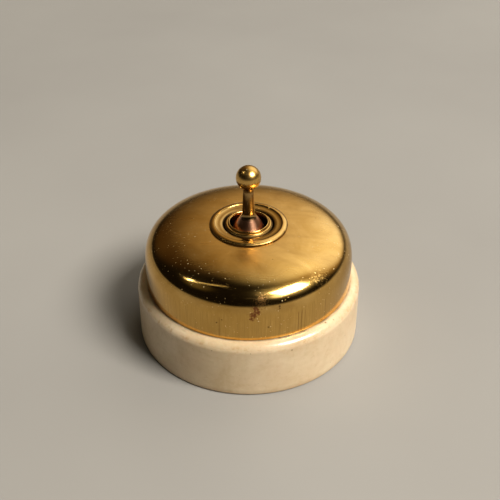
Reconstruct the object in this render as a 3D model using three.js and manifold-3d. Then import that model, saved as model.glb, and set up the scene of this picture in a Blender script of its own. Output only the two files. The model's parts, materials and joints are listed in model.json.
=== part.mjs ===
// A round surface-mounted light switch: a glazed ceramic base, a spun brass cover held down by a
// locking ring, and a turned brass toggle lever that tips an insulated rocker and its contact bar.
// Millimetres, +Z up, origin at the centre of the base's underside.
import * as THREE from "three";
import { mergeVertices } from "three/addons/utils/BufferGeometryUtils.js";
import Module from "manifold-3d";

const wasm = await Module();
wasm.setup();

// ---- driving dimensions ------------------------------------------------------------------
const RUNNING_GAP = 0.15;
const THROUGH = 1;              // how far a cutting tool runs past the face it starts from

const BASE = {
  radius: 32,
  topRadius: 31.86,
  height: 17.1,
  footRound: 0.7,
  topRound: 2.43,
  spigotRadius: 27.3,
  spigotTop: 19,
  chamberRadius: 25.5,
  chamberDepth: 5,
  ribHalf: 3.5,
};

const COVER = {
  radius: 29.24,
  skirtTop: 21.6,
  top: 34.13,
  squareness: 3.76,
  wall: 0.8,
  hole: 8.2,
  lift: 0.1,
};

const LINER = { gap: 0.15, wall: 0.5, hole: 8.6, bottom: 19.6 };

const RING = {
  footRadius: 10.85,
  crestRadius: 9.52,
  crestTop: 34.85,
  seat: 34.18,
  bore: 6.95,
  sleeveRadius: 7.95,
  sleeveBottom: 31.6,
  floor: 34.42,
};

const NECK = {
  bore: 5.5,
  mouth: 5.15,
  threadRadius: 6.7,
  threadDepth: 0.28,
  threadPitch: 1.2,
  threadTurns: 3,
  threadBottom: 30.3,
  flangeRadius: 8.6,
  flangeThick: 1.2,
  stepRadius: 6.33,
  stepTop: 34.7,
  rimRadius: 5.65,
  rim: 35.15,
};

const LEVER = {
  pivot: 31.5,
  bell: 4.45,
  bellAngle: 33,
  bellRound: 3,
  bellRoundZ: 1.02,
  flare: 2.6,
  stemLow: 1.72,
  stemHigh: 1.4,
  ball: 3.4,
  ballCentre: 17.5,
  barrelRadius: 2.2,
  barrelBottom: -5,
  boreRadius: 1.6,
  boreTop: -1.9,
  skirtBottom: -2.2,
  pinRadius: 0.75,
};

const PLUNGER = { tipRadius: 1, tipCentre: -6.2, headRadius: 1.4, headTop: -3.5, headThick: 0.7 };
const SPRING = { coilRadius: 1.15, wire: 0.2, turns: 2.6, top: -2.15, bottom: -3.25 };

const ROCKER = {
  pivot: 17,
  halfWidth: 6,
  saddle: 6.8,
  saddleHalf: 2.4,
  saddleAngle: 60,
  bottom: -7,
  halfThick: 2.2,
  waist: 3,
  pinRadius: 0.9,
};

const BAR = { halfLength: 13, thick: 1.2, bottom: -6.5, top: -3.5 };
const BAR_LEAN = 19;            // degrees that the rocker has turned when the circuit is closed

const WELL = { halfX: 14.5, halfY: 9, floor: 8 };
const POCKET = { innerX: 6.5, outerX: 14.5, farY: 19 };
const PASSAGE = { outerX: 20.5, nearY: 6.5, farY: 14.5 };

const BRIDGE = {
  thick: 1.2,
  top: 28.4,
  halfSpan: 21,
  halfWidth: 5.5,
  discRadius: 9.5,
  hole: 6.1,
  footEnd: 26.2,
  screwX: 23.6,
  cheekX: 6.6,
  cheekTopHalf: 4,
  cheekEnd: 2.2,
};

const TERMINAL = { x: 10.2, halfX: 3, nearY: 11.2, farY: 18.2, bottom: 8.75, top: 17.3 };
const WIRE_BORE = { radius: 1.6, y: 13.4, z: 13.2 };
const LEAF = { halfWidth: 2.3, thick: 0.5, clearance: 0.35 };
const TERMINAL_SCREW = { y: 16.2, head: 2.4, headHeight: 1.5, shank: 1.1, length: 6.5, clear: 1.4 };
const CLAMP_SCREW = { head: 2.4, headHeight: 1.7, shank: 1.3, length: 2.9, clear: 1.45 };
const BRIDGE_SCREW = { head: 2.3, headHeight: 1.7, shank: 1.2, length: 7, clear: 1.5, depth: 12.5 };
const BAR_SCREW = { head: 1.35, headHeight: 0.9, shank: 0.6, length: 4.6 };
const FIXING_HOLE = { y: 21.5, radius: 2.2, sinkRadius: 4.2, sinkDepth: 2.4, boss: 5 };

const SEGMENTS = { cover: 48, middle: 32, lever: 28, screw: 16 };

// ---- materials ---------------------------------------------------------------------------
const finish = (color, roughness, metalness) =>
  new THREE.MeshStandardMaterial({ color, roughness, metalness });

const ceramic = finish(0xd9c39a, 0.4, 0);
const polishedBrass = finish(0xb88a3e, 0.22, 1);
const plainBrass = finish(0xa8843f, 0.4, 1);
const copper = finish(0xb5714a, 0.35, 1);
const steel = finish(0x8c8a86, 0.35, 1);
const ebonite = finish(0x2a211c, 0.5, 0);
const fibre = finish(0x6e4a30, 0.8, 0);

// ---- helpers -----------------------------------------------------------------------------
const radians = (degrees) => THREE.MathUtils.degToRad(degrees);
const point = (x, y) => new THREE.Vector2(x, y);

// A solid of revolution about Z from (radius, height) points that run up the outside.
function turned(points, segments) {
  const geometry = new THREE.LatheGeometry(points, segments);
  geometry.rotateX(Math.PI / 2);
  return geometry;
}

// Points along an elliptic arc in the profile plane, both ends included.
function arc(centre, radii, from, to, steps) {
  const points = [];
  for (let i = 0; i <= steps; i++) {
    const angle = radians(from + ((to - from) * i) / steps);
    points.push(point(centre[0] + radii[0] * Math.cos(angle), centre[1] + radii[1] * Math.sin(angle)));
  }
  return points;
}

function box(x, y, z) {
  const geometry = new THREE.BoxGeometry(x[1] - x[0], y[1] - y[0], z[1] - z[0]);
  geometry.translate((x[0] + x[1]) / 2, (y[0] + y[1]) / 2, (z[0] + z[1]) / 2);
  return geometry;
}

function rodUp(radius, centre, z, segments = SEGMENTS.screw) {
  const geometry = new THREE.CylinderGeometry(radius, radius, z[1] - z[0], segments);
  geometry.rotateX(Math.PI / 2);
  geometry.translate(centre[0], centre[1], (z[0] + z[1]) / 2);
  return geometry;
}

function rodAcross(radius, x, y, z, segments = SEGMENTS.screw) {
  const geometry = new THREE.CylinderGeometry(radius, radius, x[1] - x[0], segments);
  geometry.rotateZ(Math.PI / 2);
  geometry.translate((x[0] + x[1]) / 2, y, z);
  return geometry;
}

// An outline drawn in the YZ plane and given a width along X.
function slab(outline, x) {
  const shape = new THREE.Shape(outline);
  const geometry = new THREE.ExtrudeGeometry(shape, { depth: x[1] - x[0], bevelEnabled: false });
  geometry.rotateX(Math.PI / 2);
  geometry.rotateZ(Math.PI / 2);
  geometry.translate(x[0], 0, 0);
  return geometry;
}

// A closed geometry as a manifold solid: shared vertices merged and empty triangles left out.
function solid(geometry) {
  const bare = geometry.clone();
  bare.deleteAttribute("normal");
  bare.deleteAttribute("uv");
  const merged = mergeVertices(bare, 1e-4);
  const index = Array.from(merged.index.array);
  const kept = [];
  for (let i = 0; i < index.length; i += 3) {
    const [a, b, c] = index.slice(i, i + 3);
    if (a !== b && b !== c && c !== a) kept.push(a, b, c);
  }
  const vertProperties = new Float32Array(merged.attributes.position.array);
  const triVerts = new Uint32Array(kept);
  return new wasm.Manifold(new wasm.Mesh({ numProp: 3, vertProperties, triVerts }));
}

function geometryOf(manifold) {
  const mesh = manifold.getMesh();
  const geometry = new THREE.BufferGeometry();
  geometry.setAttribute("position", new THREE.BufferAttribute(mesh.vertProperties, 3));
  geometry.setIndex(new THREE.BufferAttribute(mesh.triVerts, 1));
  geometry.computeVertexNormals();
  return geometry;
}

const joined = (...geometries) =>
  geometryOf(geometries.map(solid).reduce((body, extra) => body.add(extra)));

const cut = (geometry, ...tools) =>
  geometryOf(tools.map(solid).reduce((body, tool) => body.subtract(tool), solid(geometry)));

const assembly = new THREE.Group();

function piece(name, geometry, material) {
  const mesh = new THREE.Mesh(geometry, material);
  mesh.name = name;
  assembly.add(mesh);
  return mesh;
}

const SIDES = [["left", -1], ["right", 1]];
const mirroredX = (side, near, far) => [Math.min(side * near, side * far), Math.max(side * near, side * far)];

// A cheese-head screw: the head sits on z = 0 and the shank hangs below it.
function slottedScrew(headRadius, headHeight, shankRadius, shankLength) {
  const slotWidth = headRadius * 0.3;
  const slotDepth = headHeight * 0.45;
  const profile = [
    point(0, -shankLength),
    point(shankRadius * 0.7, -shankLength),
    point(shankRadius, -shankLength + shankRadius * 0.3),
    point(shankRadius, 0),
    point(headRadius, 0),
    point(headRadius, headHeight * 0.75),
    point(headRadius * 0.88, headHeight),
    point(0, headHeight),
  ];
  const slot = box(
    [-headRadius - THROUGH, headRadius + THROUGH],
    [-slotWidth / 2, slotWidth / 2],
    [headHeight - slotDepth, headHeight + THROUGH],
  );
  return cut(turned(profile, SEGMENTS.screw), slot);
}

// ---- ceramic base ------------------------------------------------------------------------
function baseBlank() {
  const round = BASE.topRound;
  const profile = [
    point(0, 0),
    ...arc([BASE.radius - BASE.footRound, BASE.footRound], [BASE.footRound, BASE.footRound], -90, 0, 3),
    ...arc([BASE.topRadius - round, BASE.height - round], [round, round], 0, 90, 6),
    point(BASE.spigotRadius, BASE.height),
    point(BASE.spigotRadius, BASE.spigotTop),
    point(0, BASE.spigotTop),
  ];
  return turned(profile, SEGMENTS.cover);
}

// The two wiring spaces under the base, with the middle rib and the screw bosses left standing.
function wiringChambers() {
  const depth = [-THROUGH, BASE.chamberDepth];
  const tall = [-2 * THROUGH, BASE.chamberDepth + THROUGH];
  const across = [-BASE.radius, BASE.radius];
  const bosses = [-1, 1].map((side) => rodUp(FIXING_HOLE.boss, [0, side * FIXING_HOLE.y], tall));
  const disc = rodUp(BASE.chamberRadius, [0, 0], depth, SEGMENTS.cover);
  return cut(disc, box([-BASE.ribHalf, BASE.ribHalf], across, tall), ...bosses);
}

// A countersunk hole for one of the screws that hold the switch to a wall.
function fixingHole(y) {
  const { radius, sinkRadius, sinkDepth } = FIXING_HOLE;
  const profile = [
    point(0, -THROUGH),
    point(radius, -THROUGH),
    point(radius, BASE.spigotTop - sinkDepth),
    point(sinkRadius, BASE.spigotTop),
    point(sinkRadius, BASE.spigotTop + THROUGH),
    point(0, BASE.spigotTop + THROUGH),
  ];
  const hole = turned(profile, SEGMENTS.screw);
  hole.translate(0, y, 0);
  return hole;
}

function ceramicBase() {
  const above = BASE.spigotTop + THROUGH;
  const well = box([-WELL.halfX, WELL.halfX], [-WELL.halfY, WELL.halfY], [WELL.floor, above]);
  const tools = [wiringChambers(), well, fixingHole(FIXING_HOLE.y), fixingHole(-FIXING_HOLE.y)];
  for (const [, side] of SIDES) {
    const pocketX = mirroredX(side, POCKET.innerX, POCKET.outerX);
    const passageX = mirroredX(side, POCKET.outerX - THROUGH, PASSAGE.outerX);
    const x = side * TERMINAL.x;
    tools.push(box(pocketX, [-POCKET.farY, -WELL.halfY + THROUGH], [WELL.floor, above]));
    tools.push(box(passageX, [-PASSAGE.farY, -PASSAGE.nearY], [BASE.chamberDepth - THROUGH, above]));
    tools.push(rodUp(TERMINAL_SCREW.clear, [x, -TERMINAL_SCREW.y], [BASE.chamberDepth - THROUGH, above]));
    tools.push(rodUp(BRIDGE_SCREW.clear, [side * BRIDGE.screwX, 0], [BRIDGE_SCREW.depth, above]));
  }
  return cut(baseBlank(), ...tools);
}

// ---- bridge, neck and pins ---------------------------------------------------------------
// One of the two ears that hang from the bridge and carry the rocker's pin.
function cheek(x) {
  const underPlate = BRIDGE.top - BRIDGE.thick / 2;
  const outline = [
    point(-BRIDGE.cheekTopHalf, underPlate),
    ...arc([0, ROCKER.pivot], [BRIDGE.cheekEnd, BRIDGE.cheekEnd], 180, 360, 8),
    point(BRIDGE.cheekTopHalf, underPlate),
  ];
  return slab(outline, x);
}

function bridge() {
  const bottom = BRIDGE.top - BRIDGE.thick;
  const width = [-BRIDGE.halfWidth, BRIDGE.halfWidth];
  const plate = box([-BRIDGE.halfSpan, BRIDGE.halfSpan], width, [bottom, BRIDGE.top]);
  const parts = [plate, rodUp(BRIDGE.discRadius, [0, 0], [bottom, BRIDGE.top], SEGMENTS.middle)];
  const holes = [rodUp(BRIDGE.hole, [0, 0], [bottom - THROUGH, BRIDGE.top + THROUGH], SEGMENTS.middle)];
  const foot = [BASE.spigotTop, BASE.spigotTop + BRIDGE.thick];
  for (const [, side] of SIDES) {
    const legX = mirroredX(side, BRIDGE.halfSpan - BRIDGE.thick, BRIDGE.halfSpan);
    const footX = mirroredX(side, BRIDGE.halfSpan - BRIDGE.thick, BRIDGE.footEnd);
    const cheekX = mirroredX(side, BRIDGE.cheekX, BRIDGE.cheekX + BRIDGE.thick);
    parts.push(box(legX, width, [BASE.spigotTop, BRIDGE.top]));
    parts.push(box(footX, width, foot));
    parts.push(cheek(cheekX));
    const screwHole = [foot[0] - THROUGH, foot[1] + THROUGH];
    holes.push(rodUp(BRIDGE_SCREW.clear, [side * BRIDGE.screwX, 0], screwHole));
  }
  const pinHole = ROCKER.pinRadius + RUNNING_GAP;
  holes.push(rodAcross(pinHole, [-BRIDGE.halfSpan / 2, BRIDGE.halfSpan / 2], 0, ROCKER.pivot));
  return cut(joined(...parts), ...holes);
}

// The threaded neck that stands on the bridge; its thread is drawn as plain rings.
function neckCollar() {
  const plateBottom = BRIDGE.top - BRIDGE.thick;
  const flangeTop = BRIDGE.top + NECK.flangeThick;
  const lipStart = NECK.rim - 1.4;
  const profile = [
    point(NECK.bore, plateBottom),
    point(BRIDGE.hole - 0.2, plateBottom),
    point(BRIDGE.hole - 0.2, BRIDGE.top),
    point(NECK.flangeRadius, BRIDGE.top),
    point(NECK.flangeRadius, flangeTop),
    point(NECK.threadRadius, flangeTop),
  ];
  for (let turn = 0; turn < NECK.threadTurns; turn++) {
    const z = NECK.threadBottom + turn * NECK.threadPitch;
    profile.push(point(NECK.threadRadius, z));
    profile.push(point(NECK.threadRadius - NECK.threadDepth, z + NECK.threadPitch / 2));
  }
  const threadTop = NECK.threadBottom + NECK.threadTurns * NECK.threadPitch;
  profile.push(
    point(NECK.threadRadius, threadTop),
    ...arc([NECK.threadRadius - 0.3, threadTop + 0.15], [0.3, 0.3], 0, 90, 3),
    ...arc([NECK.stepRadius - 0.3, NECK.stepTop - 0.25], [0.3, 0.25], 0, 90, 3),
    ...arc([(NECK.rimRadius + NECK.mouth) / 2, NECK.rim - 0.4],
      [(NECK.rimRadius - NECK.mouth) / 2, 0.4], 0, 180, 6),
    point(NECK.mouth, lipStart + 0.4),
    point(NECK.bore, lipStart),
    point(NECK.bore, plateBottom),
  );
  const pinHole = rodAcross(LEVER.pinRadius + RUNNING_GAP, [-BRIDGE.halfSpan, BRIDGE.halfSpan], 0, LEVER.pivot);
  return cut(turned(profile, SEGMENTS.middle), pinHole);
}

// A pivot pin lying along X, with its ends chamfered.
function pivotPin(radius, halfLength, z) {
  const chamfer = radius * 0.3;
  const profile = [
    point(0, -halfLength),
    point(radius - chamfer, -halfLength),
    point(radius, -halfLength + chamfer),
    point(radius, halfLength - chamfer),
    point(radius - chamfer, halfLength),
    point(0, halfLength),
  ];
  const geometry = turned(profile, SEGMENTS.screw);
  geometry.rotateY(Math.PI / 2);
  geometry.translate(0, 0, z);
  return geometry;
}

// A fibre washer between the rocker and one cheek of the bridge.
function rockerWasher(side) {
  const inner = ROCKER.pinRadius + RUNNING_GAP;
  const outer = BRIDGE.cheekEnd;
  const gap = (BRIDGE.cheekX - ROCKER.halfWidth) / 4;
  const x = mirroredX(side, ROCKER.halfWidth + gap, BRIDGE.cheekX - gap);
  const hole = rodAcross(inner, [x[0] - THROUGH, x[1] + THROUGH], 0, ROCKER.pivot);
  return cut(rodAcross(outer, x, 0, ROCKER.pivot), hole);
}

// ---- contacts and terminals --------------------------------------------------------------
// A strip of even thickness about a line of (y, z) points, as a closed outline.
function stripOutline(line, thick) {
  const edge = (sign) =>
    line.map((p, i) => {
      const before = line[Math.max(i - 1, 0)];
      const after = line[Math.min(i + 1, line.length - 1)];
      const along = after.clone().sub(before).normalize();
      return point(p.x - (sign * along.y * thick) / 2, p.y + (sign * along.x * thick) / 2);
    });
  return [...edge(-1), ...edge(1).reverse()];
}

// Where a point of the bar's outer face is once the rocker has closed the circuit, moved out by gap.
function closedBarFace(localZ, gap) {
  const lean = radians(BAR_LEAN);
  const y = -(ROCKER.halfThick + BAR.thick + gap);
  const turnedY = y * Math.cos(lean) + localZ * Math.sin(lean);
  const turnedZ = localZ * Math.cos(lean) - y * Math.sin(lean);
  return point(turnedY, ROCKER.pivot + turnedZ);
}

// A springy contact leaf: a foot under the terminal, then a blade that meets the leaning bar.
function contactSpring(side) {
  const gap = LEAF.clearance + LEAF.thick / 2;
  const footZ = WELL.floor + LEAF.thick / 2 + 0.05;
  const low = closedBarFace(BAR.bottom, gap);
  const high = closedBarFace(BAR.top, gap);
  const line = [
    point(-TERMINAL.farY + 0.4, footZ),
    point(-WELL.halfY - 0.4, footZ),
    point(-WELL.halfY + 0.5, footZ + 0.35),
    low,
    high,
    point(high.x - 0.25, high.y + 0.7),
    point(high.x - 1, high.y + 1.5),
  ];
  const x = side * TERMINAL.x;
  const leaf = slab(stripOutline(line, LEAF.thick), [x - LEAF.halfWidth, x + LEAF.halfWidth]);
  return cut(leaf, rodUp(TERMINAL_SCREW.clear, [x, -TERMINAL_SCREW.y], [0, TERMINAL.bottom + THROUGH]));
}

function terminalBlock(side) {
  const x = side * TERMINAL.x;
  const spanX = [x - TERMINAL.halfX, x + TERMINAL.halfX];
  const block = box(spanX, [-TERMINAL.farY, -TERMINAL.nearY], [TERMINAL.bottom, TERMINAL.top]);
  const wireBore = rodAcross(
    WIRE_BORE.radius,
    [spanX[0] - THROUGH, spanX[1] + THROUGH],
    -WIRE_BORE.y,
    WIRE_BORE.z,
  );
  const clampHole = rodUp(CLAMP_SCREW.clear, [x, -WIRE_BORE.y], [WIRE_BORE.z, TERMINAL.top + THROUGH]);
  const fixing = rodUp(
    TERMINAL_SCREW.shank + RUNNING_GAP,
    [x, -TERMINAL_SCREW.y],
    [TERMINAL.bottom - THROUGH, BASE.chamberDepth + TERMINAL_SCREW.length + 0.3],
  );
  return cut(block, wireBore, clampHole, fixing);
}

// ---- lever -------------------------------------------------------------------------------
// The turned lever in its own frame, with the pivot at the origin: a bell that fills the neck, a
// slim stem that grows out of its cone through a hollow curve, and a ball on the end.
function toggleLever() {
  const { bell, bellAngle, bellRound, bellRoundZ, flare, stemLow, stemHigh, ball, ballCentre } = LEVER;
  const lean = THREE.MathUtils.degToRad(bellAngle);
  const shoulderX = bell - bellRound * (1 - Math.cos(lean));
  const shoulderZ = bellRoundZ + bellRound * Math.sin(lean);
  const flareX = stemLow + flare * (1 - Math.cos(lean));
  const flareTop = shoulderZ + (shoulderX - flareX) / Math.tan(lean) + flare * Math.sin(lean);
  const ballTurn = THREE.MathUtils.radToDeg(Math.acos(stemHigh / ball));
  const profile = [
    point(0, LEVER.boreTop),
    point(LEVER.boreRadius, LEVER.boreTop),
    point(LEVER.boreRadius, LEVER.barrelBottom),
    point(LEVER.barrelRadius, LEVER.barrelBottom),
    point(LEVER.barrelRadius, LEVER.skirtBottom),
    point(bell - 0.3, LEVER.skirtBottom),
    point(bell, LEVER.skirtBottom + 0.4),
    ...arc([bell - bellRound, bellRoundZ], [bellRound, bellRound], 0, bellAngle, 4),
    ...arc([stemLow + flare, flareTop], [flare, flare], 180 + bellAngle, 180, 4),
    ...arc([0, ballCentre], [ball, ball], -ballTurn, 90, 10),
  ];
  profile[profile.length - 1].x = 0;
  const pinHole = rodAcross(LEVER.pinRadius + 2 * RUNNING_GAP, [-bell - THROUGH, bell + THROUGH], 0, 0);
  return cut(turned(profile, SEGMENTS.lever), pinHole);
}

function leverPlunger() {
  const { tipRadius, tipCentre, headRadius, headTop, headThick } = PLUNGER;
  const profile = [
    ...arc([0, tipCentre], [tipRadius, tipRadius], -90, 0, 5),
    point(tipRadius, headTop - headThick),
    point(headRadius, headTop - headThick),
    point(headRadius, headTop),
    point(0, headTop),
  ];
  profile[0].x = 0;
  return turned(profile, SEGMENTS.screw);
}

class Helix extends THREE.Curve {
  getPoint(t, target = new THREE.Vector3()) {
    const angle = 2 * Math.PI * SPRING.turns * t;
    const z = SPRING.bottom + (SPRING.top - SPRING.bottom) * t;
    return target.set(SPRING.coilRadius * Math.cos(angle), SPRING.coilRadius * Math.sin(angle), z);
  }
}

function leverSpring() {
  const section = new THREE.Shape(arc([0, 0], [SPRING.wire, SPRING.wire], 0, 300, 5));
  const steps = Math.round(SPRING.turns * 12);
  return new THREE.ExtrudeGeometry(section, { steps, extrudePath: new Helix(), bevelEnabled: false });
}

// ---- rocker ------------------------------------------------------------------------------
function rocker() {
  const { saddle, saddleHalf, saddleAngle, bottom, halfThick, waist } = ROCKER;
  const horn = saddle + saddleHalf / Math.tan(radians(saddleAngle));
  const half = [
    point(halfThick, bottom),
    point(halfThick, -2.6),
    point(waist, -1.6),
    point(waist, 1.6),
    point(saddleHalf, 3),
    point(saddleHalf, horn),
  ];
  const outline = [...half, point(0, saddle), ...half.map((p) => point(-p.x, p.y)).reverse()];
  const block = slab(outline, [-ROCKER.halfWidth, ROCKER.halfWidth]);
  const reach = [-ROCKER.halfWidth - THROUGH, ROCKER.halfWidth + THROUGH];
  const pinHole = rodAcross(ROCKER.pinRadius + 2 * RUNNING_GAP, reach, 0, 0);
  return cut(block, pinHole, barScrewHole());
}

// The hole for the screw that holds the bar, in the rocker's frame, running along Y.
function barScrewHole() {
  const face = ROCKER.halfThick + BAR.thick;
  const hole = rodUp(BAR_SCREW.shank + RUNNING_GAP, [0, 0], [-face - THROUGH, BAR_SCREW.length - face + 0.3]);
  hole.rotateX(-Math.PI / 2);
  hole.translate(0, 0, (BAR.bottom + BAR.top) / 2);
  return hole;
}

function contactBar() {
  const y = [-(ROCKER.halfThick + BAR.thick), -ROCKER.halfThick];
  const bar = box([-BAR.halfLength, BAR.halfLength], y, [BAR.bottom, BAR.top]);
  return cut(bar, barScrewHole());
}

// ---- cover, liner and locking ring -------------------------------------------------------
// The cover's outline moved inward by inset: an upright skirt, then a rounded-square shoulder.
function coverOutline(inset, bottom, hole, steps) {
  const radius = COVER.radius - inset;
  const rise = COVER.top - COVER.skirtTop - inset;
  const power = 2 / COVER.squareness;
  const height = (r) => COVER.skirtTop + rise * (1 - (r / radius) ** COVER.squareness) ** (power / 2);
  const points = [point(radius, bottom)];
  for (let i = 0; i < steps; i++) {
    const angle = ((Math.PI / 2) * i) / steps;
    const r = radius * Math.cos(angle) ** power;
    points.push(point(r, COVER.skirtTop + rise * Math.sin(angle) ** power));
  }
  points.push(point(hole, height(hole)));
  return points;
}

function shell(outerInset, wall, bottom, hole, steps) {
  const outer = coverOutline(outerInset, bottom, hole, steps);
  const inner = coverOutline(outerInset + wall, bottom, hole, steps);
  return turned([...outer, ...inner.reverse(), outer[0].clone()], SEGMENTS.cover);
}

const domeCover = () => shell(0, COVER.wall, BASE.height + COVER.lift, COVER.hole, 11);
const coverLiner = () => shell(COVER.wall + LINER.gap, LINER.wall, LINER.bottom, LINER.hole, 6);

// The locking ring: a rounded bead outside, a shallow dish inside and a threaded sleeve below.
function lockingRing() {
  const { footRadius, crestRadius, crestTop, seat, bore, sleeveRadius, sleeveBottom, floor } = RING;
  const bead = [footRadius - crestRadius, crestTop - seat];
  const dish = [crestRadius - bore - 0.5, crestTop - floor - 0.08];
  const profile = [
    point(bore, sleeveBottom),
    point(sleeveRadius, sleeveBottom),
    point(sleeveRadius, seat),
    ...arc([crestRadius, seat], bead, 0, 90, 6),
    ...arc([bore + 0.5, crestTop - 0.08], dish, 0, -90, 6),
    point(bore, floor),
    point(bore, sleeveBottom),
  ];
  return turned(profile, SEGMENTS.middle);
}

// ---- assembly ----------------------------------------------------------------------------
piece("ceramic_base", ceramicBase(), ceramic);
piece("bridge", bridge(), plainBrass);
piece("neck_collar", neckCollar(), polishedBrass);
piece("lever_pin", pivotPin(LEVER.pinRadius, NECK.threadRadius - 0.35, LEVER.pivot), steel);
piece("rocker_pin", pivotPin(ROCKER.pinRadius, BRIDGE.cheekX + BRIDGE.thick + 0.8, ROCKER.pivot), steel);

for (const [label, side] of SIDES) {
  const x = side * TERMINAL.x;
  piece(`rocker_washer_${label}`, rockerWasher(side), fibre);
  piece(`contact_spring_${label}`, contactSpring(side), copper);
  piece(`terminal_block_${label}`, terminalBlock(side), plainBrass);

  const { head, headHeight, shank, length } = CLAMP_SCREW;
  const clamp = piece(`clamp_screw_${label}`, slottedScrew(head, headHeight, shank, length), plainBrass);
  clamp.position.set(x, -WIRE_BORE.y, TERMINAL.top + RUNNING_GAP);

  const below = TERMINAL_SCREW;
  const fixingGeometry = slottedScrew(below.head, below.headHeight, below.shank, below.length);
  const fixing = piece(`terminal_screw_${label}`, fixingGeometry, plainBrass);
  fixing.position.set(x, -below.y, BASE.chamberDepth - RUNNING_GAP);
  fixing.rotation.x = Math.PI;

  const top = BRIDGE_SCREW;
  const bridgeGeometry = slottedScrew(top.head, top.headHeight, top.shank, top.length);
  const bridgeScrew = piece(`bridge_screw_${label}`, bridgeGeometry, plainBrass);
  bridgeScrew.position.set(side * BRIDGE.screwX, 0, BASE.spigotTop + BRIDGE.thick + RUNNING_GAP);
}

for (const [name, geometry, material] of [
  ["toggle_lever", toggleLever(), polishedBrass],
  ["lever_plunger", leverPlunger(), steel],
  ["lever_spring", leverSpring(), steel],
]) {
  piece(name, geometry, material).position.z = LEVER.pivot;
}

piece("rocker", rocker(), ebonite).position.z = ROCKER.pivot;
piece("contact_bar", contactBar(), copper).position.z = ROCKER.pivot;
const barScrewGeometry = slottedScrew(BAR_SCREW.head, BAR_SCREW.headHeight, BAR_SCREW.shank, BAR_SCREW.length);
const barScrew = piece("contact_bar_screw", barScrewGeometry, plainBrass);
const barFace = -(ROCKER.halfThick + BAR.thick);
barScrew.position.set(0, barFace - RUNNING_GAP / 2, ROCKER.pivot + (BAR.bottom + BAR.top) / 2);
barScrew.rotation.x = Math.PI / 2;

piece("dome_cover", domeCover(), polishedBrass);
piece("cover_liner", coverLiner(), fibre);
piece("locking_ring", lockingRing(), polishedBrass);

export default assembly;
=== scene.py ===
"""An antique round light switch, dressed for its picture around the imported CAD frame.

Every CAD node is replaced by a finer mesh of the same piece: turned pieces are revolved from their
profiles, pressed and milled pieces are cut and bevelled. Profiles are in millimetres in the row's
frame, +Z up, and take their main sizes from the frame's own boxes.
"""
import json
import math

import bmesh
import bpy
from mathutils import Matrix, Quaternion, Vector, noise

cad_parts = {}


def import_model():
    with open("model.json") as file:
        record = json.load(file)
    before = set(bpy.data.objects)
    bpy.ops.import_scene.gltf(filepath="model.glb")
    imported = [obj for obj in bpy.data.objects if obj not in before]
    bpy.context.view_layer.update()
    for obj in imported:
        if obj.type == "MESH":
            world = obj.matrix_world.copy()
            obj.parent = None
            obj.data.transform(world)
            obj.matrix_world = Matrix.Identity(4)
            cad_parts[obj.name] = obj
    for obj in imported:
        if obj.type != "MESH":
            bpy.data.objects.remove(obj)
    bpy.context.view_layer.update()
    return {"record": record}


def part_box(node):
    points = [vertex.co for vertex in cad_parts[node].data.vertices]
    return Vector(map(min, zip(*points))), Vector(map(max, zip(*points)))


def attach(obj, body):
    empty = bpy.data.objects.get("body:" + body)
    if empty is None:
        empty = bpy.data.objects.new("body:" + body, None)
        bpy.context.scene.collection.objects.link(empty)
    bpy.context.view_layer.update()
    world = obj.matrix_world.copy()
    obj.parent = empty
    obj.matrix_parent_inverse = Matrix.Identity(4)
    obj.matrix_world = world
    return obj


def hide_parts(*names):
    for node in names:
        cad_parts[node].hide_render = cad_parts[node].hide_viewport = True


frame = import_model()

MM = 0.001
FINE, MEDIUM, SMALL = 224, 128, 56          # segments round a big, middling or small turned piece


# ---- sizes, in millimetres ---------------------------------------------------------------
def low(node):
    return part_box(node)[0] / MM


def high(node):
    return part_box(node)[1] / MM


BASE_RADIUS = high("ceramic_base").x
SPIGOT_TOP = high("ceramic_base").z
LEDGE = 17.1
TOP_ROUND = 2.43
SPIGOT_RADIUS = 27.3
CHAMBER_RADIUS, CHAMBER_DEPTH = 25.5, 5.0
RIB_HALF = 3.5
FIXING_Y, FIXING_RADIUS, SINK_RADIUS, SINK_DEPTH, BOSS_RADIUS = 21.5, 2.2, 4.2, 2.4, 5.0

COVER_RADIUS = high("dome_cover").x
COVER_FOOT = low("dome_cover").z
SKIRT_TOP = 21.6
COVER_TOP = 34.13
SQUARENESS = 3.76
COVER_WALL = 0.8
COVER_HOLE = 8.2

LEVER_PIVOT = (low("lever_pin").z + high("lever_pin").z) / 2
LEVER_TOP = high("toggle_lever").z
BALL_RADIUS = 3.4
STEM_LOW, STEM_HIGH = 1.72, 1.4
BELL_RADIUS, BELL_ANGLE, BELL_FLARE = 4.45, 33, 2.6
BELL_ROUND, BELL_ROUND_Z = 3.0, 1.02

ROCKER_PIVOT = (low("rocker_pin").z + high("rocker_pin").z) / 2
BAR_Z = (low("contact_bar").z + high("contact_bar").z) / 2
PLATE = (low("neck_collar").z, 28.4)        # the bridge's flat top, from below to above
WELL_FLOOR, WELL_CORNER = 8.0, 0.9
TERMINAL_X, CLAMP_Y, TERMINAL_SCREW_Y = 10.2, -13.4, -16.2
BRIDGE_SCREW_X = 23.6
THREAD_PITCH = 0.9


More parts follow.
